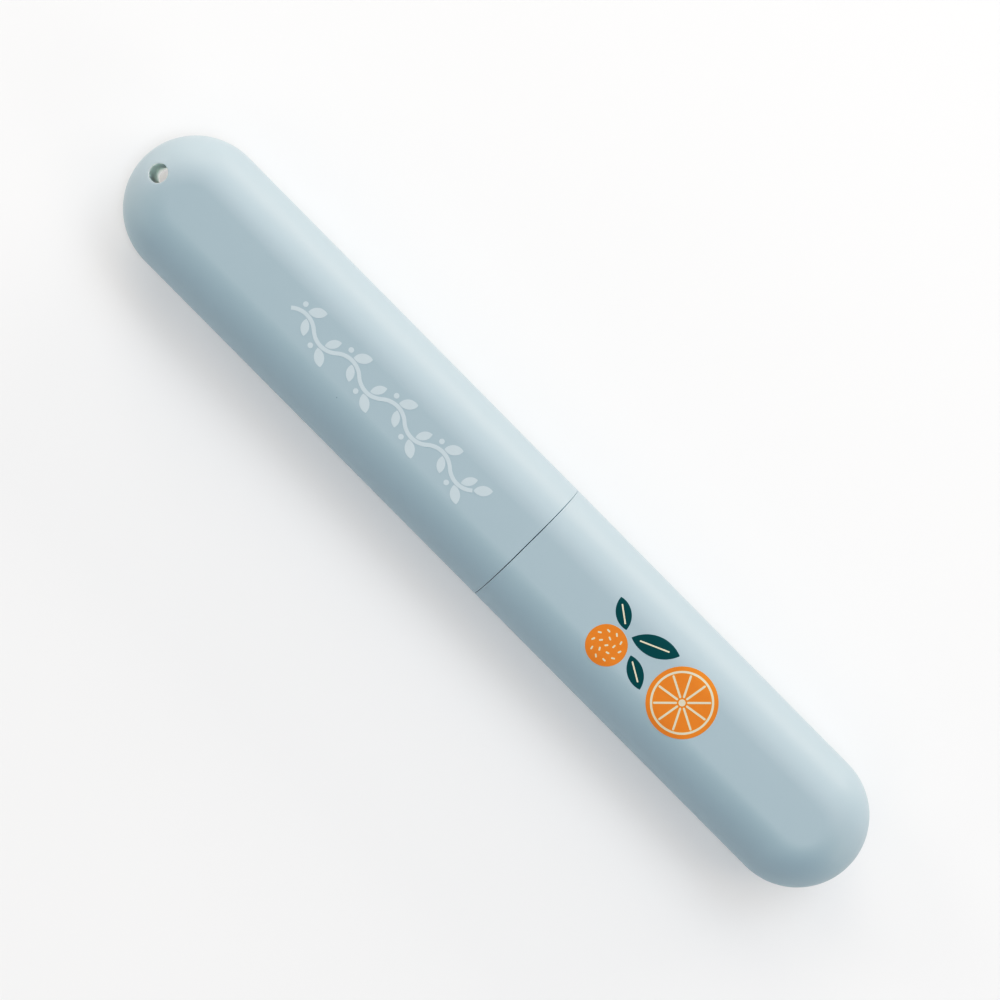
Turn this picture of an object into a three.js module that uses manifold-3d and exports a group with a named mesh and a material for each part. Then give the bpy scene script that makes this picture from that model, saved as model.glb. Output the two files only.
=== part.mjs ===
// Travel toothbrush case: two moulded shells, a body and a cap, that push together on a stepped neck.
// Millimetres, +Z up. X runs along the case from the body's tip to the cap's tip, with 0 midway.
// The case rests on its lower flat at Z = 0.
import * as THREE from "three";
import { mergeVertices } from "three/addons/utils/BufferGeometryUtils.js";
import Module from "manifold-3d";

// Outside of the closed case
const LENGTH = 200;
const WIDTH = 29.2;
const HEIGHT = 21;
const BODY_LENGTH = 107.9;    // body's tip to the shoulder that the cap closes against
const PARTING_LAND = 0.2;     // upright strip at mid height where the two mould halves meet
const EDGE_BREAK = 0.15;      // chamfer on the two outer edges beside the seam
const SEAM_GAP = 0.35;        // between the shoulder and the cap's rim

// Walls
const WALL = 2.2;
const DRAFT = THREE.MathUtils.degToRad(0.25);

// Neck on the body, and the socket in the cap that takes it
const NECK_LENGTH = 14;
const SOCKET_WALL = 0.9;      // cap's wall outside the neck
const FIT_GAP = 0.3;          // all round between the neck and the socket
const SOCKET_END_GAP = 0.4;   // between the neck's end and the socket's floor
const LEAD_IN = 0.5;          // chamfer that starts the cap on the neck

// Snap bead on the neck, and the groove in the socket that it clicks into
const BEAD_FROM_SHOULDER = 9;
const BEAD_WIDTH = 1.6;
const BEAD_HEIGHT = 0.2;
const BEAD_CREST = 0.2;       // width left flat along the top of the bead
const GROOVE_GAP = 0.2;       // between the bead and each side of the groove
const GROOVE_DEPTH = 0.2;

// Hanging hole through the body's tip, with a post round it where it crosses the hollow
const HOLE_DIAMETER = 4;
const HOLE_FROM_TIP = 5.4;    // to the middle of the hole
const HOLE_WALL = 1.6;        // wall of the post

// Facets
const BEAD_STEPS = 4;
const ROLL_STEPS = 12;        // per quarter turn of the rounded side, an even number
const PLAN_STEPS = 40;        // per half turn of a rounded tip, an even number
const HOLE_STEPS = 32;
const OVERLAP = 1;            // how far cutting solids reach past what they cut
const SAME_POINT = 1e-5;      // corners closer than this are one corner

// Places along X and sizes that follow from the values above
const BODY_TIP = -LENGTH / 2;
const CAP_TIP = LENGTH / 2;
const SHOULDER = BODY_TIP + BODY_LENGTH;
const RIM = SHOULDER + SEAM_GAP;
const NECK_END = SHOULDER + NECK_LENGTH;
const SOCKET_FLOOR = NECK_END + SOCKET_END_GAP;
const NECK_INSET = SOCKET_WALL + FIT_GAP;
const BEAD_MIDDLE = SHOULDER + BEAD_FROM_SHOULDER;
const ROLL = (HEIGHT - PARTING_LAND) / 2;
const FLAT = WIDTH - 2 * ROLL;
const TIP_CENTRE = LENGTH / 2 - WIDTH / 2;
const MID_HEIGHT = HEIGHT / 2;

const wasm = await Module();
wasm.setup();

// Closed three.js geometry to a solid
function solid(geometry) {
  geometry.deleteAttribute("normal");
  geometry.deleteAttribute("uv");
  const merged = mergeVertices(geometry, SAME_POINT);
  return new wasm.Manifold(new wasm.Mesh({
    numProp: 3,
    vertProperties: new Float32Array(merged.attributes.position.array),
    triVerts: new Uint32Array(merged.index.array),
  }));
}

// Solid back to three.js geometry
function geometryOf(shape) {
  const mesh = shape.getMesh();
  const geometry = new THREE.BufferGeometry();
  geometry.setAttribute("position", new THREE.BufferAttribute(new Float32Array(mesh.vertProperties), 3));
  geometry.setIndex(new THREE.BufferAttribute(new Uint32Array(mesh.triVerts), 1));
  return geometry;
}

// Whole case as one bar: a long slot-shaped core swelled by the full-round side,
// set in from the outside by the given amount
function bar(inset) {
  const core = new THREE.Shape();
  core.absarc(TIP_CENTRE, 0, FLAT / 2, -Math.PI / 2, Math.PI / 2);
  core.absarc(-TIP_CENTRE, 0, FLAT / 2, Math.PI / 2, Math.PI * 3 / 2);
  const geometry = new THREE.ExtrudeGeometry(core, {
    depth: PARTING_LAND,
    bevelThickness: ROLL - inset,
    bevelSize: ROLL - inset,
    bevelSegments: ROLL_STEPS,
    curveSegments: PLAN_STEPS / 2,
  });
  return geometry.translate(0, 0, MID_HEIGHT - PARTING_LAND / 2);
}

// Section across the case, set in from the outside by the given amount
function section(inset) {
  const radius = ROLL - inset;
  const y = FLAT / 2;
  const z = PARTING_LAND / 2;
  const shape = new THREE.Shape();
  shape.absarc(y, z, radius, 0, Math.PI / 2);
  shape.absarc(-y, z, radius, Math.PI / 2, Math.PI);
  shape.absarc(-y, -z, radius, Math.PI, Math.PI * 3 / 2);
  shape.absarc(y, -z, radius, Math.PI * 3 / 2, Math.PI * 2);
  return shape;
}

// Straight length of that section between two places along X.
// Its two end edges are drawn in by `drop` over a length of `run`, straight or in rounded steps.
function straight(inset, from, to, drop = 0, run = drop, steps = 1) {
  const geometry = new THREE.ExtrudeGeometry(section(inset), {
    depth: to - from - 2 * run,
    bevelEnabled: drop > 0,
    bevelThickness: run,
    bevelSize: drop,
    bevelOffset: -drop,
    bevelSegments: steps,
    curveSegments: ROLL_STEPS / 2,
  });
  const alongX = new THREE.Matrix4().makeBasis(
    new THREE.Vector3(0, 1, 0), new THREE.Vector3(0, 0, 1), new THREE.Vector3(1, 0, 0));
  return geometry.applyMatrix4(alongX).translate(from + run, 0, MID_HEIGHT);
}

// Inside of a shell, narrowing evenly from its mouth to its closed end so that the core pulls out.
// The closed end lies toward -X or +X of the mouth, as `inward` is -1 or 1.
function hollow(mouth, inward) {
  const geometry = bar(WALL);
  const points = geometry.attributes.position;
  for (let i = 0; i < points.count; i += 1) {
    const depth = inward * (points.getX(i) - mouth);
    const narrowing = 1 - depth * Math.tan(DRAFT) / (MID_HEIGHT - WALL);
    points.setY(i, points.getY(i) * narrowing);
    points.setZ(i, MID_HEIGHT + (points.getZ(i) - MID_HEIGHT) * narrowing);
  }
  return solid(geometry);
}

// Part of the bar from a cut across it to one tip, with the cut edge broken by a small chamfer
function outside(cut, tip) {
  const reach = OVERLAP + EDGE_BREAK;
  const past = tip + Math.sign(tip - cut) * (OVERLAP + reach);
  const kept = straight(-OVERLAP, Math.min(cut, past), Math.max(cut, past), reach);
  return solid(bar(0)).intersect(solid(kept));
}

// Ring round the neck with a rounded edge, standing out from the given inset
function ring(inset, height, width) {
  const from = BEAD_MIDDLE - width / 2;
  const run = (width - BEAD_CREST) / 2;
  return solid(straight(inset - height, from, from + width, height, run, BEAD_STEPS));
}

// Upright hole near the body's tip
function tipHole() {
  const radius = HOLE_DIAMETER / 2;
  const geometry = new THREE.CylinderGeometry(radius, radius, HEIGHT + 2 * OVERLAP, HOLE_STEPS);
  return solid(geometry.rotateX(Math.PI / 2).translate(BODY_TIP + HOLE_FROM_TIP, 0, MID_HEIGHT));
}

// Post round the hole: half round toward the mouth, and straight-sided back to the end wall
function tipPost() {
  const reach = HOLE_DIAMETER / 2 + HOLE_WALL;
  const outline = new THREE.Shape();
  outline.moveTo(-HOLE_FROM_TIP, -reach);
  outline.absarc(0, 0, reach, -Math.PI / 2, Math.PI / 2);
  outline.lineTo(-HOLE_FROM_TIP, reach);
  const settings = { depth: HEIGHT, bevelEnabled: false, curveSegments: HOLE_STEPS / 2 };
  return solid(new THREE.ExtrudeGeometry(outline, settings).translate(BODY_TIP + HOLE_FROM_TIP, 0, 0));
}

// Body: closed tube with the neck standing out of its shoulder and the post standing inside its tip
function bodyShell() {
  const blank = outside(SHOULDER, BODY_TIP);
  const neckRoot = SHOULDER - OVERLAP - LEAD_IN;
  const neck = solid(straight(NECK_INSET, neckRoot, NECK_END, LEAD_IN));
  const bead = ring(NECK_INSET, BEAD_HEIGHT, BEAD_WIDTH);
  const inside = hollow(NECK_END, -1).subtract(tipPost());
  return blank.add(neck).add(bead).subtract(inside).subtract(tipHole());
}

// Cap: closed tube with the neck's socket in its mouth
function capShell() {
  const blank = outside(RIM, CAP_TIP);
  const socket = solid(straight(SOCKET_WALL, RIM - OVERLAP, SOCKET_FLOOR));
  const groove = ring(SOCKET_WALL, GROOVE_DEPTH, BEAD_WIDTH + 2 * GROOVE_GAP);
  return blank.subtract(hollow(RIM, 1)).subtract(socket).subtract(groove);
}

// One named mesh with its own material
function piece(name, shape, color, roughness) {
  const material = new THREE.MeshStandardMaterial({ color, roughness, metalness: 0 });
  const mesh = new THREE.Mesh(geometryOf(shape), material);
  mesh.name = name;
  return mesh;
}

const SHELL_BLUE = 0xacc0c8;
const SHELL_ROUGHNESS = 0.5;

const group = new THREE.Group();
group.name = "travel_toothbrush_case";
group.add(piece("body_shell", bodyShell(), SHELL_BLUE, SHELL_ROUGHNESS));
group.add(piece("cap_shell", capShell(), SHELL_BLUE, SHELL_ROUGHNESS));

export default group;
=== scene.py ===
"""Travel toothbrush case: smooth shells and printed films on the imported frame, with light and camera."""
import math

import bmesh
import bpy
from mathutils import Matrix, Vector


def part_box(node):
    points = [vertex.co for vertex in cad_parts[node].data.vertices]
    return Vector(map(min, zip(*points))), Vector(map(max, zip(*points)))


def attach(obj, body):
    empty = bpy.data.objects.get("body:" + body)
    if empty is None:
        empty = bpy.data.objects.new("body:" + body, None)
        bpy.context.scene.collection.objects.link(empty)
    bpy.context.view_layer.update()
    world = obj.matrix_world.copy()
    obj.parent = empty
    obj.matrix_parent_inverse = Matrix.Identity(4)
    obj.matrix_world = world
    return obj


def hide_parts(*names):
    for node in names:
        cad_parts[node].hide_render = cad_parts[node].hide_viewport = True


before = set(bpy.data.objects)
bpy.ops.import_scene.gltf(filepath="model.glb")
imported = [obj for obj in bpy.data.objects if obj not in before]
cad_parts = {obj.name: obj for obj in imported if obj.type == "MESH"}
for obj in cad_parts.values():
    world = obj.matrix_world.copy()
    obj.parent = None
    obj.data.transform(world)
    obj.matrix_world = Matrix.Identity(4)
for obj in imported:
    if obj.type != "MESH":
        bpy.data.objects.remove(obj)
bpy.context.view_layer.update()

# Sizes of the case in metres, as in the part's source
MM = 0.001
SEAM_GAP = 0.35 * MM
SEAM_SHOWN = 0.125 * MM       # width of the seam on the flats, under the gap that the solids keep
SEAM_CLOSING = 0.09 * MM      # how much narrower the seam is at the two sides
WALL = 2.2 * MM
DRAFT = math.radians(0.25)
NECK_INSET = 1.2 * MM
SOCKET_WALL = 0.9 * MM
SOCKET_END_GAP = 0.4 * MM
LEAD_IN = 0.5 * MM
BEAD_FROM_SHOULDER = 9 * MM
BEAD_HALF_WIDTH = 0.8 * MM
BEAD_HEIGHT = 0.2 * MM
GROOVE_HALF_WIDTH = 1.0 * MM
GROOVE_DEPTH = 0.2 * MM
HOLE_RADIUS = 2.0 * MM
HOLE_FROM_TIP = 5.4 * MM
HOLE_WALL = 1.6 * MM
POST_BACK = 3.7 * MM          # from the middle of the hole to the post's back, inside the end wall
POST_REACH = 7.1 * MM         # from mid height to the post's slanted end, inside the upper or lower wall
POST_SLANT = math.radians(35)

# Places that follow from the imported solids
BODY_LOW, BODY_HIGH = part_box("body_shell")
CAP_LOW, CAP_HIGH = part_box("cap_shell")
WIDTH = BODY_HIGH.y - BODY_LOW.y
HEIGHT = BODY_HIGH.z - BODY_LOW.z
MIDDLE = (BODY_HIGH.z + BODY_LOW.z) / 2
TOP = BODY_HIGH.z
ROLL = HEIGHT / 2
HALF_FLAT = (WIDTH - HEIGHT) / 2
BODY_TIP = BODY_LOW.x
HOLE_X = BODY_TIP + HOLE_FROM_TIP
CAP_TIP = CAP_HIGH.x
RIM = CAP_LOW.x
SHOULDER = RIM - SEAM_GAP
RIM_SHOWN = SHOULDER + SEAM_SHOWN
NECK_END = BODY_HIGH.x
SOCKET_FLOOR = NECK_END + SOCKET_END_GAP
BEAD_MIDDLE = SHOULDER + BEAD_FROM_SHOULDER

# How finely the shells are drawn
ROLL_STEPS = 48               # round each half-round side
TIP_STEPS = 64                # round each tip, seen from above
BEAD_STEPS = 6                # over the bead and the groove
HOLE_STEPS = 64
EDGE_ROUND = 0.12 * MM
EDGE_STEPS = 3
RIM_ROUND = 0.18 * MM         # radius on the edge of the hole
RIM_STEPS = 6
RIM_STRIP = 0.5 * MM          # strip drawn in from the wide drilling to the edge of the hole
RIM_SHADED = 2.5 * MM         # width of the strip beside the hole that keeps its shading
SHARP = math.radians(35)
NEAR = 1e-6                   # points this close are the same
SAME_CORNER = 0.01 * MM       # corners this close on the edge of the hole are one corner
LEAN_NEAR = 1e-4              # leans this close are the same

# Citrus print on the cap
CAP_PRINT_X = 43 * MM         # middle of the print along the case
SLICE_AT = (CAP_PRINT_X + 8.6 * MM, -0.1 * MM)
SLICE_RADIUS = 7.2 * MM
SEGMENTS = 10
SEGMENT_TURN = 0.25           # how far the slice is turned, as a share of one segment
RIND = 0.85 * MM
RING_STROKE = 0.46 * MM       # pale ring under the rind
CORE_RADIUS = 0.70 * MM
SPOKE_START = 1.0 * MM        # pale line between two segments, from the middle of the slice
SPOKE_SHORT = 0.62 * MM       # from the outer end of that line to the outside of the ring
SPOKE_STROKE = 0.44 * MM
FRUIT_AT = (CAP_PRINT_X - 10.0 * MM, -2.7 * MM)
FRUIT_RADIUS = 4.2 * MM
PORE_RINGS = ((0, 1), (1.5 * MM, 5), (2.9 * MM, 10))    # radius of each ring, and its number of pores
PORE_LENGTH = 0.80 * MM
PORE_STROKE = 0.36 * MM
PORE_TURN = 0.9               # from the line to the middle of the fruit, in radians
CITRUS_LEAVES = (             # length, width, place of the stalk end along and across, and turn
    (10.2 * MM, 4.3 * MM, CAP_PRINT_X - 7.6 * MM, 1.9 * MM, math.radians(24)),
    (7.0 * MM, 3.2 * MM, CAP_PRINT_X - 5.2 * MM, -0.7 * MM, math.radians(-30)),
    (6.6 * MM, 3.1 * MM, CAP_PRINT_X - 9.4 * MM, 2.2 * MM, math.radians(144)),
)
VEIN_MIDDLE = 0.48            # place and length of a leaf's vein, as shares of the leaf's length
VEIN_LENGTH = 0.62
VEIN_STROKE = 0.34 * MM

# Leafy sprig on the body
SPRIG_START = -57.6 * MM      # its end toward the body's tip
SPRIG_WAVES = 8               # half waves along the sprig
SPRIG_STEP = 6.3 * MM         # length of one half wave
SPRIG_SLOPE = math.radians(42)
SPRIG_STROKE = 0.8 * MM
PRINT_GAP = 0.22 * MM         # left bare between a leaf and the stem
OUTER_LEAF = (3.8 * MM, 2.0 * MM)       # length and width
INNER_LEAF = (3.4 * MM, 1.7 * MM)
OUTER_LEAF_SHIFT = -0.2 * MM  # along the sprig from the crest of the wave
INNER_LEAF_SHIFT = 0.5 * MM
BERRY_SHIFT = -1.6 * MM
OUTER_LEAF_TURN = math.radians(38)
INNER_LEAF_TURN = math.radians(55)
BERRY_RADIUS = 0.55 * MM
BERRY_RISE = 0.7 * MM         # from the stalk end of the outer leaf to the middle of the berry

# Films of ink
INK_SUNK = 0.015 * MM         # how far each film reaches into what it lies on
GREEN_RISE = 0.016 * MM       # how far each film stands out of the plastic
ORANGE_RISE = 0.022 * MM
WHITE_RISE = 0.032 * MM
PRINT_LEVEL = TOP + 4 * MM    # where the flat shapes are drawn before they are laid on
STRIP = 0.45 * MM             # width of the strips that let a film follow the rounded side
DISC_STEPS = 96
BAR_END = 0.49                # rounding of a stroke's corners, as a share of its width
BAR_STEPS = 5

# Patterns in the finishes
FLOW_SIZE = 14 * MM           # slow clouds in the tint of the plastic
SOFT_SIZE = 2.5 * MM          # soft patches in its tint and roughness
FLOW_SHARE = 0.55             # share of the clouds in the tint, the rest being the soft patches
GRAIN_SIZE = 0.22 * MM        # eroded grain of the mould
GRAIN_DEPTH = 0.02 * MM
SPECK_SPACING = 5.5 * MM
SPECK_RADIUS = 0.022          # as a share of the spacing
SPECK_SHARE = 0.14            # share of the places that hold a speck
SPECK_COVER = 0.7
PLASTIC_ROUGHNESS = 0.42
GRAIN_ROUGHNESS = 0.06        # added by the grain and by the soft patches
SOFT_ROUGHNESS = 0.05
PLASTIC_IOR = 1.49
SOAK_DEPTH = 16 * MM          # how far light soaks into the wall of the hole
SOAK_TINT = (0.9, 1.0, 0.9)
INK_PATCH = 1.1 * MM          # patches where the ink lies thin or thick
SCREEN_MARK = 0.18 * MM       # marks that the printing screen leaves
SCREEN_DEPTH = 0.01 * MM
INK_ROUGHNESS = 0.5
MARK_ROUGHNESS = 0.10
MATT = 0.05                   # how strongly an ink reflects
SATIN = 0.5
CLOUD_SIZE = 60 * MM          # clouds in the table top
TABLE_ROUGHNESS = 0.6
CLOUD_ROUGHNESS = 0.1
TABLE_GLOSS = 0.2

# Colours, most of them as the two ends that a pattern runs between
SHELL_BLUE = ((0.356, 0.443, 0.491, 1), (0.342, 0.429, 0.477, 1))
# Wall of the hole: lighter than the shell plastic, painted light inside the hole
HOLE_BLUE_PAINTED_LIGHT = ((0.43, 0.50, 0.53, 1), (0.415, 0.485, 0.515, 1))
SPECK_GREY = (0.16, 0.20, 0.22, 1)
INK_ORANGE = ((0.70, 0.262, 0.036, 1), (0.66, 0.238, 0.030, 1))
INK_GREEN = ((0.0010, 0.079, 0.089, 1), (0.0006, 0.070, 0.079, 1))
INK_WHITE = ((0.465, 0.55, 0.59, 1), (0.505, 0.585, 0.625, 1))
INK_CREAM = ((0.595, 0.55, 0.425, 1), (0.635, 0.59, 0.46, 1))
TABLE_WHITE = ((0.909, 0.913, 0.918, 1), (0.929, 0.933, 0.940, 1))

# Table and light
TABLE_SIZE = 40
BOX_DISTANCE = 1.5            # from the case to each soft box
LOW = (10, (1.22, 0.52))      # height above the table in degrees, and the size of a soft box there
MID = (30, (1.08, 0.52))
HIGH = (50, (0.80, 0.52))
TOPMOST = (80, (0.30, 0.36))
WARM = (1.10, 1.0, 0.90)
COOL = (0.88, 1.0, 1.12)
ROOM_WHITE = (1, 1, 1, 1)
ROOM_BRIGHTNESS = 0.3
CONTRAST = ((0, 0), (0.2, 0.165), (0.45, 0.508), (0.75, 0.836), (1.05, 1.05))   # a gentle S

# Camera, nearly overhead and turned so that the case lies from corner to corner
CAMERA_AT = Vector((-20.0, 21.3, 540.0)) * MM
CAMERA_AIM = Vector((-1.71, 2.17, 10.5)) * MM
IMAGE_RIGHT = math.radians(45.31)     # from the case's length to the image's right edge, seen from above
LENS_MM = 95.31
SENSOR_MM = 36


# Shader maths: an expression on wires adds the Math nodes that work it out
class Wire:
    def __init__(self, finish, socket):
        self.finish = finish
        self.socket = socket

    def __add__(self, other):
        return self.finish.maths("ADD", self, other)

    def __radd__(self, other):
        return self.finish.maths("ADD", other, self)

    def __sub__(self, other):
        return self.finish.maths("SUBTRACT", self, other)

    def __rsub__(self, other):
        return self.finish.maths("SUBTRACT", other, self)

    def __mul__(self, other):
        return self.finish.maths("MULTIPLY", self, other)

    def __rmul__(self, other):
        return self.finish.maths("MULTIPLY", other, self)

    def __gt__(self, other):
        return self.finish.maths("GREATER_THAN", self, other)

    def __lt__(self, other):
        return self.finish.maths("LESS_THAN", self, other)


# Places of a Mix node's colour sockets
COLOUR_A = 6
COLOUR_B = 7
COLOUR_OUT = 2


# A material and the nodes in it
class Finish:
    def __init__(self, name):
        self.material = bpy.data.materials.new(name)
        self.material.use_nodes = True
        self.tree = self.material.node_tree
        self.shader = self.tree.nodes["Principled BSDF"]
        self.place = self.node("ShaderNodeTexCoord", {}, {}, "Object")

    def node(self, kind, settings, inputs, output=0):
        made = self.tree.nodes.new(kind)
        for name, value in settings.items():
            setattr(made, name, value)
        for name, value in inputs.items():
            self.feed(made.inputs[name], value)
        return Wire(self, made.outputs[output])

    def feed(self, socket, value):
        if isinstance(value, Wire):
            self.tree.links.new(value.socket, socket)
        else:
            socket.default_value = value

    def maths(self, operation, first, second):
        return self.node("ShaderNodeMath", {"operation": operation}, {0: first, 1: second})

    def noise(self, size, detail, rough=0.5):
        inputs = {"Vector": self.place, "Scale": 1 / size, "Detail": detail, "Roughness": rough}
        return self.node("ShaderNodeTexNoise", {}, inputs, "Fac")

    def mixed(self, share, first, second):
        inputs = {"Factor": share, COLOUR_A: first, COLOUR_B: second}
        return self.node("ShaderNodeMix", {"data_type": "RGBA"}, inputs, COLOUR_OUT)

    def set(self, **sockets):
        for name, value in sockets.items():
            self.feed(self.shader.inputs[name.replace("_", " ")], value)

    def bump(self, height, depth, strength):
        inputs = {"Height": height, "Distance": depth, "Strength": strength}
        self.set(Normal=self.node("ShaderNodeBump", {}, inputs))


# Moulded plastic of both shells: satin, with a fine eroded grain and a few dark specks
def shell_finish(name, light, deep):
    finish = Finish(name)
    flow = finish.noise(FLOW_SIZE, detail=3)
    grain = finish.noise(GRAIN_SIZE, detail=3, rough=0.6)
    soft = finish.noise(SOFT_SIZE, detail=2)
    cells = {"Vector": finish.place, "Scale": 1 / SPECK_SPACING}
    from_speck = finish.node("ShaderNodeTexVoronoi", {}, cells, "Distance")
    cell_draw = finish.node("ShaderNodeTexVoronoi", {}, cells, "Color")
    drawn = finish.node("ShaderNodeSeparateColor", {}, {"Color": cell_draw}, "Red")
    speck = (from_speck < SPECK_RADIUS) * (drawn > 1 - SPECK_SHARE)
    tint = finish.mixed(FLOW_SHARE * flow + (1 - FLOW_SHARE) * soft, deep, light)
    finish.set(Base_Color=finish.mixed(speck * SPECK_COVER, tint, SPECK_GREY))
    finish.set(Roughness=PLASTIC_ROUGHNESS + GRAIN_ROUGHNESS * grain + SOFT_ROUGHNESS * soft)
    finish.set(IOR=PLASTIC_IOR)
    finish.bump(grain, GRAIN_DEPTH, strength=0.25)
    return finish


# The same plastic where light soaks through it from all round, used for the hole's wall, whose lighter
# colours are painted light inside the hole
def soaked_finish(name, light, deep):
    finish = shell_finish(name, light, deep)
    finish.set(Subsurface_Weight=1.0, Subsurface_Scale=SOAK_DEPTH, Subsurface_Radius=SOAK_TINT)
    return finish


# Printing ink: a thin film, a little uneven where the screen laid it down
def ink_finish(name, thin, thick, gloss):
    finish = Finish(name)
    laid = finish.noise(INK_PATCH, detail=4, rough=0.65)
    screen_marks = finish.noise(SCREEN_MARK, detail=2)
    finish.set(Base_Color=finish.mixed(laid, thin, thick))
    finish.set(Roughness=INK_ROUGHNESS + MARK_ROUGHNESS * screen_marks)
    finish.set(Specular_IOR_Level=gloss)
    finish.bump(screen_marks, SCREEN_DEPTH, strength=0.2)
    return finish


# Pale table top
def floor_finish():
    finish = Finish("table_top")
    cloud = finish.noise(CLOUD_SIZE, detail=3)
    finish.set(Base_Color=finish.mixed(cloud, *TABLE_WHITE))
    finish.set(Roughness=TABLE_ROUGHNESS + CLOUD_ROUGHNESS * cloud)
    finish.set(Specular_IOR_Level=TABLE_GLOSS)
    return finish


# Modelling by hand
def start_clean():
    if bpy.context.object and bpy.context.object.mode != "OBJECT":
        bpy.ops.object.mode_set(mode="OBJECT")
    bpy.ops.object.select_all(action="DESELECT")


def select_only(piece):
    start_clean()
    piece.select_set(True)
    bpy.context.view_layer.objects.active = piece


def settled():
    """The shape just drawn, with its place and turn in its mesh."""
    if bpy.context.object.mode != "OBJECT":
        bpy.ops.object.mode_set(mode="OBJECT")
    bpy.ops.object.transform_apply(location=True, rotation=True, scale=True)
    return bpy.context.object


def pick(rule, kind="VERT"):
    """Selects the points, edges or faces of the mesh being edited that the rule holds for."""
    bpy.ops.mesh.select_mode(type=kind)
    bpy.ops.mesh.select_all(action="DESELECT")
    mesh = bpy.context.object.data
    work = bmesh.from_edit_mesh(mesh)
    parts = {"VERT": work.verts, "EDGE": work.edges, "FACE": work.faces}[kind]
    for part in parts:
        part.select = rule(part)
    work.select_flush_mode()
    bmesh.update_edit_mesh(mesh)


def selected_points():
    return {v.index for v in bmesh.from_edit_mesh(bpy.context.object.data).verts if v.select}


def apply_modifiers(piece):
    select_only(piece)
    for modifier in list(piece.modifiers):
        bpy.ops.object.modifier_apply(modifier=modifier.name)


def cut(place, normal, **how):
    """Cuts all of the mesh being edited by a plane."""
    bpy.ops.mesh.select_all(action="SELECT")
    bpy.ops.mesh.bisect(plane_co=place, plane_no=normal, threshold=NEAR, **how)


def section_ring(name, x):
    """The outline across the case: half a circle on each side, joined by the two flats."""
    start_clean()
    bpy.ops.mesh.primitive_circle_add(
        vertices=2 * ROLL_STEPS, radius=ROLL, location=(x, 0, MIDDLE), rotation=(0, math.pi / 2, 0))
    ring = settled()
    ring.name = name
    bpy.ops.object.mode_set(mode="EDIT")
    pick(lambda v: v.co.y < -NEAR)
    bpy.ops.mesh.delete(type="VERT")
    bpy.ops.mesh.select_all(action="SELECT")
    bpy.ops.transform.translate(value=(0, HALF_FLAT, 0))
    bpy.ops.mesh.duplicate()
    bpy.ops.transform.resize(value=(1, -1, 1), center_override=(x, 0, MIDDLE))
    for end in (TOP, TOP - HEIGHT):
        pick(lambda v: abs(v.co.z - end) < NEAR)
        bpy.ops.mesh.edge_face_add()
    bpy.ops.mesh.select_all(action="SELECT")
    return ring


def next_ring(x, inset, x_before, inset_before):
    """Extrudes the selected ring along the case and draws in each round side about its own middle."""
    bpy.ops.mesh.extrude_region_move(TRANSFORM_OT_translate={"value": (x - x_before, 0, 0)})
    ring = selected_points()
    ratio = (ROLL - inset) / (ROLL - inset_before)
    for side in (1, -1):
        pick(lambda v: v.index in ring and v.co.y * side > 0)
        bpy.ops.transform.resize(value=(1, ratio, ratio), center_override=(x, side * HALF_FLAT, MIDDLE))
    pick(lambda v: v.index in ring)


def round_tip(x, inset, outward):
    """Spins one side of an open end round to the other side, and closes the two half-round flats."""
    side_from = HALF_FLAT - NEAR
    reach = HALF_FLAT + ROLL - inset + NEAR
    pick(lambda v: abs(v.co.x - x) < NEAR and side_from < v.co.y < reach and on_section(v.co, inset))
    bpy.ops.mesh.spin(
        steps=TIP_STEPS, angle=outward * math.pi, center=(x, 0, MIDDLE), axis=(0, 0, 1), dupli=False)
    bpy.ops.mesh.select_all(action="SELECT")
    bpy.ops.mesh.remove_doubles(threshold=NEAR)
    for end in (1, -1):
        level = MIDDLE + end * (ROLL - inset)
        pick(lambda v: abs(v.co.z - level) < NEAR and (v.co.x - x) * outward > -NEAR)
        bpy.ops.mesh.edge_face_add()


def on_section(point, inset):
    """Whether a point is on the section's outline, drawn in by the inset."""
    out = max(abs(point.y) - HALF_FLAT, 0)
    return abs(math.hypot(out, point.z - MIDDLE) - (ROLL - inset)) < 10 * NEAR


def bead_rings(middle, half_width, inset, rise):
    """Rings over a rounded bead, or down into a groove where the rise is negative."""
    rings = []
    for step in range(BEAD_STEPS + 1):
        angle = math.pi * step / BEAD_STEPS
        rings.append((middle - half_width * math.cos(angle), inset - rise * math.sin(angle)))
    return rings


def inside_inset(mouth, x):
    """How far the inner wall lies inside the outer one: more with depth, so that the core pulls out."""
    return WALL + abs(x - mouth) * math.tan(DRAFT)


def shell(name, rings, outward):
    """A closed wall drawn ring by ring: from the outer tip, round the mouth and back to the inner tip."""
    piece = section_ring(name, rings[0][0])
    for before, (x, inset) in zip(rings, rings[1:]):
        next_ring(x, inset, before[0], before[1])
    for x, inset in (rings[0], rings[-1]):
        round_tip(x, inset, outward)
    bpy.ops.mesh.select_all(action="SELECT")
    bpy.ops.mesh.normals_make_consistent(inside=False)
    bpy.ops.object.mode_set(mode="OBJECT")
    piece.data.materials.append(plastic)
    return piece


def round_edges(piece):
    """Small radius on every sharp edge."""
    bevel = piece.modifiers.new("edge_radius", "BEVEL")
    bevel.width = EDGE_ROUND
    bevel.segments = EDGE_STEPS
    bevel.limit_method = "ANGLE"
    bevel.angle_limit = SHARP
    apply_modifiers(piece)


def smooth(piece):
    """Smooth shading that follows the larger faces, so that a rounded edge tilts only its own strip."""
    select_only(piece)
    bpy.ops.object.shade_smooth_by_angle(angle=SHARP)
    weights = piece.modifiers.new("face_weights", "WEIGHTED_NORMAL")
    weights.keep_sharp = True
    apply_modifiers(piece)


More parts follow.
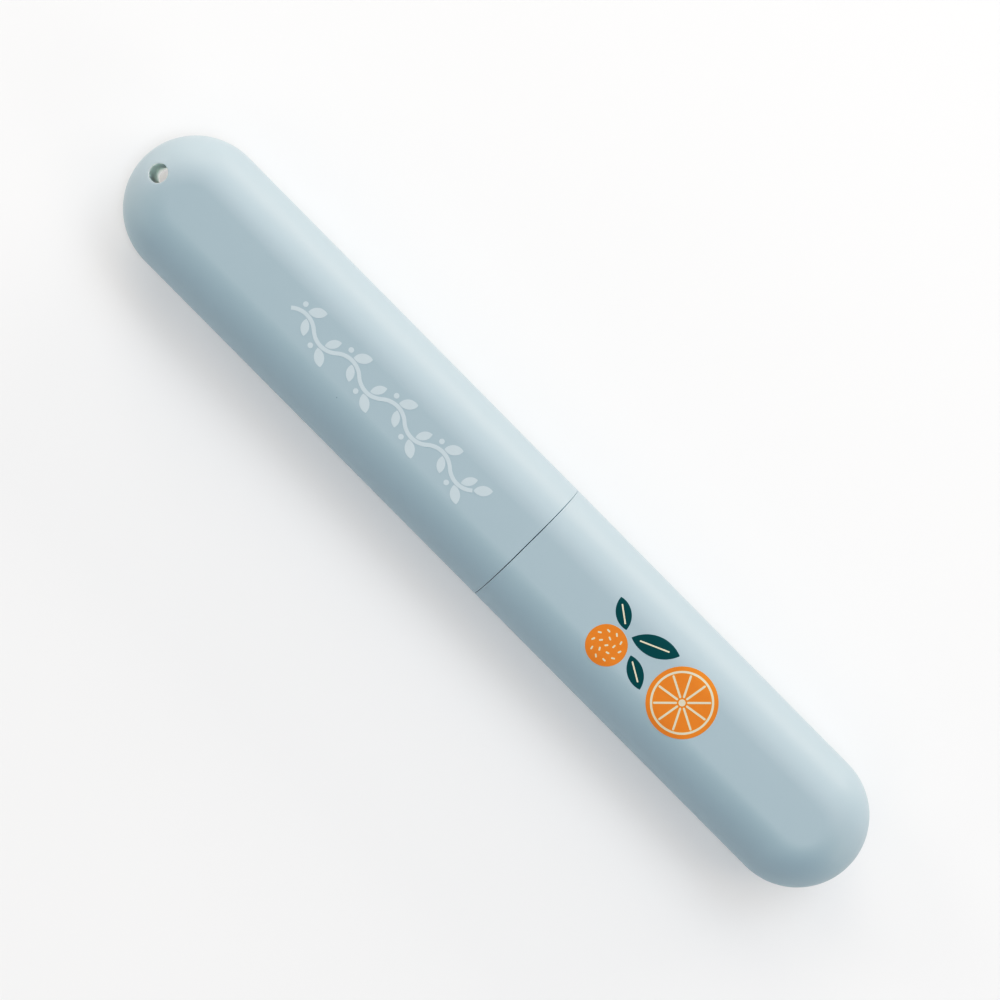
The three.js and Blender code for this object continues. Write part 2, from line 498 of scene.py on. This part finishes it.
def body_shell():
    tip = BODY_TIP + WIDTH / 2
    rings = [(tip, 0), (SHOULDER, 0), (SHOULDER, NECK_INSET)]
    rings += bead_rings(BEAD_MIDDLE, BEAD_HALF_WIDTH, NECK_INSET, BEAD_HEIGHT)
    rings += [(NECK_END - LEAD_IN, NECK_INSET), (NECK_END, NECK_INSET + LEAD_IN)]
    rings += [(NECK_END, inside_inset(NECK_END, NECK_END)), (tip, inside_inset(NECK_END, tip))]
    piece = shell("body_moulding", rings, -1)
    round_edges(piece)
    undrilled = smooth_copy(piece)
    combine(piece, hole_post(), "UNION")
    combine(piece, upright_bar(HOLE_RADIUS + RIM_STRIP), "DIFFERENCE")
    draw_in_hole(piece, undrilled)
    wall_hole(piece)
    round_rim(piece)
    smooth(piece)
    shade_as(piece, undrilled)
    return piece


def upright_bar(radius):
    """Upright cylinder round the middle of the tip hole, longer than the case is high."""
    start_clean()
    bpy.ops.mesh.primitive_cylinder_add(
        vertices=HOLE_STEPS, radius=radius, depth=2 * HEIGHT, location=(HOLE_X, 0, MIDDLE))
    bar = settled()
    bar.data.materials.append(plastic)
    return bar


def hole_post():
    """Wall round the hole where it crosses the hollow: half round toward the mouth, straight-sided back
    to the end wall, and cut off slanting inside the upper and lower walls."""
    post = upright_bar(HOLE_RADIUS + HOLE_WALL)
    bpy.ops.object.mode_set(mode="EDIT")
    pick(lambda v: v.co.x < HOLE_X - NEAR)
    bpy.ops.transform.resize(value=(0, 1, 1), center_override=(HOLE_X - POST_BACK, 0, MIDDLE))
    for end in (1, -1):
        slant = (-math.sin(POST_SLANT), 0, end * math.cos(POST_SLANT))
        cut((HOLE_X, 0, MIDDLE + end * POST_REACH), slant, clear_outer=True, use_fill=True)
    bpy.ops.object.mode_set(mode="OBJECT")
    return post


def combine(piece, tool, operation):
    """Joins or cuts a piece with a tool, which is then gone."""
    change = piece.modifiers.new("combine", "BOOLEAN")
    change.operation = operation
    change.solver = "EXACT"
    change.object = tool
    apply_modifiers(piece)
    bpy.data.objects.remove(tool)


def from_hole(point):
    return math.hypot(point.x - HOLE_X, point.y)


def on_hole(corner):
    return from_hole(corner.co) < HOLE_RADIUS + NEAR


def draw_in_hole(piece, undrilled):
    """Takes out the wall of the wide drilling and draws both its edges in to the hole's size."""
    wide = HOLE_RADIUS + RIM_STRIP
    select_only(piece)
    bpy.ops.object.mode_set(mode="EDIT")
    pick(lambda f: all(from_hole(v.co) < wide + NEAR for v in f.verts), "FACE")
    bpy.ops.mesh.delete(type="FACE")
    pick(lambda e: e.is_boundary, "EDGE")
    bpy.ops.mesh.remove_doubles(threshold=SAME_CORNER)
    pick(lambda e: e.is_boundary, "EDGE")
    bpy.ops.mesh.extrude_region_move()
    ratio = HOLE_RADIUS / wide
    bpy.ops.transform.resize(value=(ratio, ratio, 1), center_override=(HOLE_X, 0, MIDDLE))
    bpy.ops.object.mode_set(mode="OBJECT")
    edges = piece.vertex_groups.new(name="hole_edges")
    edges.add([v.index for v in piece.data.vertices if on_hole(v)], 1, "REPLACE")
    lay_on(piece, undrilled).vertex_group = edges.name
    apply_modifiers(piece)
    piece.vertex_groups.clear()


def wall_hole(piece):
    """Walls the hole from its upper edge to its lower one, in the lighter plastic that paints light inside
    the hole.
    """
    piece.data.materials.append(hole_painted_light_plastic)
    piece.active_material_index = len(piece.data.materials) - 1
    bpy.ops.object.mode_set(mode="EDIT")
    pick(lambda e: e.is_boundary, "EDGE")
    bpy.ops.mesh.bridge_edge_loops()
    bpy.ops.object.material_slot_assign()
    bpy.ops.mesh.select_all(action="SELECT")
    bpy.ops.mesh.normals_make_consistent(inside=False)
    bpy.ops.object.mode_set(mode="OBJECT")


def round_rim(piece):
    """Rounds the edge of the hole, above and below."""
    select_only(piece)
    bpy.ops.object.mode_set(mode="EDIT")
    for end in (1, -1):
        pick(lambda v: on_hole(v) and (v.co.z - MIDDLE) * end > 0)
        bpy.ops.mesh.bevel(offset=RIM_ROUND, segments=RIM_STEPS, affect="EDGES")
    bpy.ops.object.mode_set(mode="OBJECT")


def lay_on(piece, target):
    """Lays a piece on a target, straight up or down."""
    lay = piece.modifiers.new("lay_on", "SHRINKWRAP")
    lay.wrap_method = "PROJECT"
    lay.use_project_z = True
    lay.use_positive_direction = True
    lay.use_negative_direction = True
    lay.target = target
    return lay


def smooth_copy(piece):
    select_only(piece)
    bpy.ops.object.duplicate()
    copy = bpy.context.object
    smooth(copy)
    return copy


def shade_as(piece, undrilled):
    """Shades the outside round the hole as it was before drilling, and drops the undrilled copy."""
    beside = piece.vertex_groups.new(name="beside_hole")
    beside.add([v.index for v in piece.data.vertices if beside_hole(v.co)], 1, "REPLACE")
    shading = piece.modifiers.new("shading", "DATA_TRANSFER")
    shading.object = undrilled
    shading.use_loop_data = True
    shading.data_types_loops = {"CUSTOM_NORMAL"}
    shading.loop_mapping = "POLYINTERP_NEAREST"
    shading.vertex_group = beside.name
    apply_modifiers(piece)
    piece.vertex_groups.clear()
    bpy.data.objects.remove(undrilled)


def beside_hole(point):
    """Whether a point is on the outside, near the hole but clear of its rounded edge."""
    out = max(math.hypot(point.x - BODY_TIP - WIDTH / 2, point.y) - HALF_FLAT, 0)
    outside = abs(math.hypot(out, point.z - MIDDLE) - ROLL) < WALL / 2
    return outside and HOLE_RADIUS + RIM_ROUND < from_hole(point) < HOLE_RADIUS + RIM_SHADED


def close_sides(piece):
    """Bows the rim toward the shoulder round both sides, where the halves close up tighter."""
    select_only(piece)
    bpy.ops.object.mode_set(mode="EDIT")
    for step in range(1, ROLL_STEPS // 2 + 1):
        lean = math.sin(math.pi * step / ROLL_STEPS)
        pick(lambda v: abs(v.co.x - RIM_SHOWN) < NEAR and abs(side_lean(v.co) - lean) < LEAN_NEAR)
        bpy.ops.transform.translate(value=(-SEAM_CLOSING * lean, 0, 0))
    bpy.ops.object.mode_set(mode="OBJECT")


def side_lean(point):
    """How far the section faces sideways at a point: 0 on the flats, 1 at the widest part."""
    out = max(abs(point.y) - HALF_FLAT, 0)
    return out / math.hypot(out, point.z - MIDDLE)


def cap_shell():
    tip = CAP_TIP - WIDTH / 2
    rings = [(tip, 0), (RIM_SHOWN, 0), (RIM_SHOWN, SOCKET_WALL)]
    rings += bead_rings(BEAD_MIDDLE, GROOVE_HALF_WIDTH, SOCKET_WALL, GROOVE_DEPTH)
    rings += [(SOCKET_FLOOR, SOCKET_WALL), (SOCKET_FLOOR, inside_inset(RIM, SOCKET_FLOOR))]
    rings += [(tip, inside_inset(RIM, tip))]
    piece = shell("cap_moulding", rings, 1)
    close_sides(piece)
    round_edges(piece)
    smooth(piece)
    return piece


# Flat shapes for the prints
def flat_disc(radius, x, y):
    start_clean()
    bpy.ops.mesh.primitive_circle_add(
        vertices=DISC_STEPS, radius=radius, fill_type="NGON", location=(x, y, PRINT_LEVEL))
    return settled()


def flat_ring(radius, stroke, x, y):
    ring = flat_disc(radius, x, y)
    bpy.ops.object.mode_set(mode="EDIT")
    bpy.ops.mesh.select_all(action="SELECT")
    bpy.ops.mesh.inset(thickness=stroke)
    bpy.ops.mesh.delete(type="FACE")
    bpy.ops.object.mode_set(mode="OBJECT")
    return ring


def keep_side(x, y, direction):
    """Cuts the shape being edited through a point and drops what lies behind the cut."""
    cut((x, y, PRINT_LEVEL), (math.cos(direction), math.sin(direction), 0), clear_inner=True)


def flat_arc(radius, stroke, x, y, middle, spread):
    """Part of a ring, as far as the spread to each side of the middle direction."""
    arc = flat_ring(radius + stroke / 2, stroke, x, y)
    bpy.ops.object.mode_set(mode="EDIT")
    keep_side(x, y, middle - spread + math.pi / 2)
    keep_side(x, y, middle + spread - math.pi / 2)
    bpy.ops.object.mode_set(mode="OBJECT")
    return arc


def flat_bar(length, width, x, y, turn):
    """Straight stroke with round ends."""
    start_clean()
    bpy.ops.mesh.primitive_plane_add(size=width)
    bpy.ops.object.mode_set(mode="EDIT")
    bpy.ops.transform.resize(value=(length / width, 1, 1))
    bpy.ops.mesh.bevel(offset=BAR_END * width, segments=BAR_STEPS, affect="VERTICES")
    return placed(x, y, turn)


def bar_about(middle, reach, direction, length, width, turn=0):
    """Straight stroke at a reach from a middle, turned from the line between them."""
    x = middle[0] + reach * math.cos(direction)
    y = middle[1] + reach * math.sin(direction)
    return flat_bar(length, width, x, y, direction + turn)


def placed(x, y, turn):
    """Puts the shape being edited where it belongs."""
    bpy.ops.object.mode_set(mode="OBJECT")
    shape = bpy.context.object
    shape.location = (x, y, PRINT_LEVEL)
    shape.rotation_euler = (0, 0, turn)
    return settled()


def flat_leaf(length, width, x, y, turn):
    """Pointed leaf from its stalk end: one slice off a disc, and the same slice turned half round."""
    start_clean()
    half = width / 2
    radius = (length * length / 4 + half * half) / width
    bpy.ops.mesh.primitive_circle_add(
        vertices=DISC_STEPS, radius=radius, fill_type="NGON", location=(length / 2, half - radius, 0))
    bpy.ops.object.transform_apply(location=True)
    bpy.ops.object.mode_set(mode="EDIT")
    cut((0, 0, 0), (0, 1, 0), clear_inner=True)
    bpy.ops.mesh.select_all(action="SELECT")
    bpy.ops.mesh.duplicate()
    bpy.ops.transform.rotate(value=math.pi, orient_axis="Z", center_override=(length / 2, 0, 0))
    bpy.ops.mesh.select_all(action="SELECT")
    bpy.ops.mesh.remove_doubles(threshold=NEAR)
    return placed(x, y, turn)


def film(name, shapes, moulding, rise):
    """Joins flat shapes into one thin layer of ink that follows the top of a moulding."""
    select_only(shapes[0])
    for shape in shapes:
        shape.select_set(True)
    bpy.ops.object.join()
    layer = bpy.context.object
    layer.name = name
    bpy.ops.object.mode_set(mode="EDIT")
    bpy.ops.mesh.select_all(action="SELECT")
    bpy.ops.mesh.remove_doubles(threshold=NEAR)
    strips = int(WIDTH / 2 / STRIP)
    for strip in range(-strips, strips + 1):
        cut((0, strip * STRIP, 0), (0, 1, 0))
    bpy.ops.mesh.select_all(action="SELECT")
    bpy.ops.mesh.delete_loose()
    bpy.ops.object.mode_set(mode="OBJECT")
    lay_on(layer, moulding)
    coat = layer.modifiers.new("ink_thickness", "SOLIDIFY")
    coat.thickness = rise + INK_SUNK
    coat.offset = 2 * rise / coat.thickness - 1
    apply_modifiers(layer)
    bpy.ops.object.shade_smooth_by_angle(angle=SHARP)
    return layer


# Citrus print on the cap: a slice, a small whole fruit and leaves
def slice_marks():
    """Pale lines of the cut fruit: the ring under the rind, the lines between segments, and the core."""
    ring = SLICE_RADIUS - RIND
    spoke_end = ring - SPOKE_SHORT
    reach = (SPOKE_START + spoke_end) / 2
    marks = [flat_ring(ring, RING_STROKE, *SLICE_AT), flat_disc(CORE_RADIUS, *SLICE_AT)]
    for segment in range(SEGMENTS):
        direction = 2 * math.pi * (segment + SEGMENT_TURN) / SEGMENTS
        marks.append(bar_about(SLICE_AT, reach, direction, spoke_end - SPOKE_START, SPOKE_STROKE))
    return marks


def peel_marks():
    """Short pale strokes for the pores of the whole fruit."""
    marks = []
    for reach, count in PORE_RINGS:
        for pore in range(count):
            direction = 2 * math.pi * (pore + 0.5) / count
            marks.append(bar_about(FRUIT_AT, reach, direction, PORE_LENGTH, PORE_STROKE, PORE_TURN))
    return marks


def citrus_print(moulding):
    orange = [flat_disc(SLICE_RADIUS, *SLICE_AT), flat_disc(FRUIT_RADIUS, *FRUIT_AT)]
    green = []
    cream = slice_marks() + peel_marks()
    for length, width, x, y, turn in CITRUS_LEAVES:
        green.append(flat_leaf(length, width, x, y, turn))
        cream.append(bar_about((x, y), VEIN_MIDDLE * length, turn, VEIN_LENGTH * length, VEIN_STROKE))
    return (
        film("cap_print_green", green, moulding, GREEN_RISE),
        film("cap_print_orange", orange, moulding, ORANGE_RISE),
        film("cap_print_white", cream, moulding, WHITE_RISE),
    )


# Leafy sprig on the body: a waving stem with leaves and berries to each side, and a leaf at its end
def sprig_print(moulding):
    radius = SPRIG_STEP / 2 / math.sin(SPRIG_SLOPE)
    centre_drop = radius * math.cos(SPRIG_SLOPE)
    crest = radius - centre_drop
    outer = crest + SPRIG_STROKE / 2 + PRINT_GAP
    inner = crest - SPRIG_STROKE / 2 - PRINT_GAP
    shapes = []
    for wave in range(SPRIG_WAVES):
        side = 1 if wave % 2 == 0 else -1
        x = SPRIG_START + (wave + 0.5) * SPRIG_STEP
        upward = side * math.pi / 2
        shapes.append(flat_arc(radius, SPRIG_STROKE, x, -side * centre_drop, upward, SPRIG_SLOPE))
        shapes.append(flat_leaf(*OUTER_LEAF, x + OUTER_LEAF_SHIFT, side * outer, side * OUTER_LEAF_TURN))
        shapes.append(flat_leaf(*INNER_LEAF, x + INNER_LEAF_SHIFT, side * inner, -side * INNER_LEAF_TURN))
        shapes.append(flat_disc(BERRY_RADIUS, x + BERRY_SHIFT, side * (outer + BERRY_RISE)))
    end = SPRIG_START + SPRIG_WAVES * SPRIG_STEP
    step = PRINT_GAP * math.cos(SPRIG_SLOPE)
    shapes.append(flat_leaf(*OUTER_LEAF, end + step, step, SPRIG_SLOPE))
    return film("body_print_white", shapes, moulding, WHITE_RISE)


# Shells
plastic = shell_finish("moulded_plastic", *SHELL_BLUE).material
# The hole's wall gets a lighter copy of the plastic: painted light inside the hole
hole_painted_light_plastic = soaked_finish("hole_wall_painted_light", *HOLE_BLUE_PAINTED_LIGHT).material
body = body_shell()
cap = cap_shell()
for piece, ridden, node in ((body, "body", "body_shell"), (cap, "cap", "cap_shell")):
    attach(piece, ridden)
    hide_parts(node)

# Prints
orange_ink = ink_finish("orange_ink", *INK_ORANGE, MATT)
green_ink = ink_finish("green_ink", *INK_GREEN, MATT)
white_ink = ink_finish("white_ink", *INK_WHITE, SATIN)
cream_ink = ink_finish("cream_ink", *INK_CREAM, SATIN)
green_film, orange_film, cream_film = citrus_print(cap)
sprig_film = sprig_print(body)
for layer, ink, slot, ridden in (
        (green_film, green_ink, "print_green", "cap"),
        (orange_film, orange_ink, "print_orange", "cap"),
        (cream_film, cream_ink, "print_white", "cap"),
        (sprig_film, white_ink, "print_white", "body")):
    layer.data.materials.append(ink.material)
    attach(layer, ridden)

# Floor
start_clean()
bpy.ops.mesh.primitive_plane_add(size=TABLE_SIZE, location=(0, 0, BODY_LOW.z))
floor = bpy.context.object
floor.name = "floor"
floor.data.materials.append(floor_finish().material)


# Light
def soft_box(name, direction, level, brightness, colour):
    """Soft box that faces the case from a direction, in degrees seen from above, at a level."""
    height, size = level
    light = bpy.data.lights.new(name, "AREA")
    light.shape = "RECTANGLE"
    light.size, light.size_y = size
    light.energy = math.pi * light.size * light.size_y * brightness
    light.color = colour
    lamp = bpy.data.objects.new(name, light)
    bpy.context.scene.collection.objects.link(lamp)
    turn = math.radians(direction)
    rise = math.radians(height)
    lamp.location = BOX_DISTANCE * Vector(
        (math.cos(rise) * math.cos(turn), math.cos(rise) * math.sin(turn), math.sin(rise)))
    lamp.rotation_euler = (-lamp.location).to_track_quat("-Z", "Z").to_euler()


soft_box("window", 90, LOW, 5.5, WARM)
soft_box("window_corner_low", 135, LOW, 1.5, WARM)
soft_box("window_corner", 135, MID, 2.7, WARM)
soft_box("window_end", 180, LOW, 3.6, WARM)
soft_box("shade_corner", 225, LOW, 1.2, WARM)
soft_box("shade_side", 270, LOW, 0.5, COOL)
soft_box("far_end", 0, LOW, 1.8, WARM)
soft_box("ceiling_far", 45, HIGH, 2.1, WARM)
soft_box("ceiling_window", 90, HIGH, 2.9, COOL)
soft_box("ceiling_shade", 270, HIGH, 0.9, WARM)
soft_box("overhead", 0, TOPMOST, 8.7, COOL)

world = bpy.data.worlds.new("room")
world.use_nodes = True
room = world.node_tree.nodes["Background"]
room.inputs["Color"].default_value = ROOM_WHITE
room.inputs["Strength"].default_value = ROOM_BRIGHTNESS
bpy.context.scene.world = world


# Picture contrast
def picture_contrast(points):
    """Bends the brightness of the picture along a curve, for all colours together."""
    view = bpy.context.scene.view_settings
    view.view_transform = "Standard"
    view.use_curve_mapping = True
    mapping = view.curve_mapping
    mapping.use_clip = False
    mapping.extend = "EXTRAPOLATED"
    all_colours = mapping.curves[-1]
    all_colours.points[0].location = points[0]
    all_colours.points[1].location = points[-1]
    for point in points[1:-1]:
        all_colours.points.new(*point)
    mapping.update()


picture_contrast(CONTRAST)

# Camera
forward = (CAMERA_AIM - CAMERA_AT).normalized()
right = Vector((math.cos(IMAGE_RIGHT), math.sin(IMAGE_RIGHT), 0))
right = (right - forward * right.dot(forward)).normalized()
up = right.cross(forward)
lens = bpy.data.cameras.new("camera")
lens.lens = LENS_MM
lens.sensor_width = SENSOR_MM
lens.sensor_fit = "HORIZONTAL"
camera = bpy.data.objects.new("camera", lens)
camera.matrix_world = Matrix.Translation(CAMERA_AT) @ Matrix((right, up, -forward)).transposed().to_4x4()
bpy.context.scene.collection.objects.link(camera)
bpy.context.scene.camera = camera
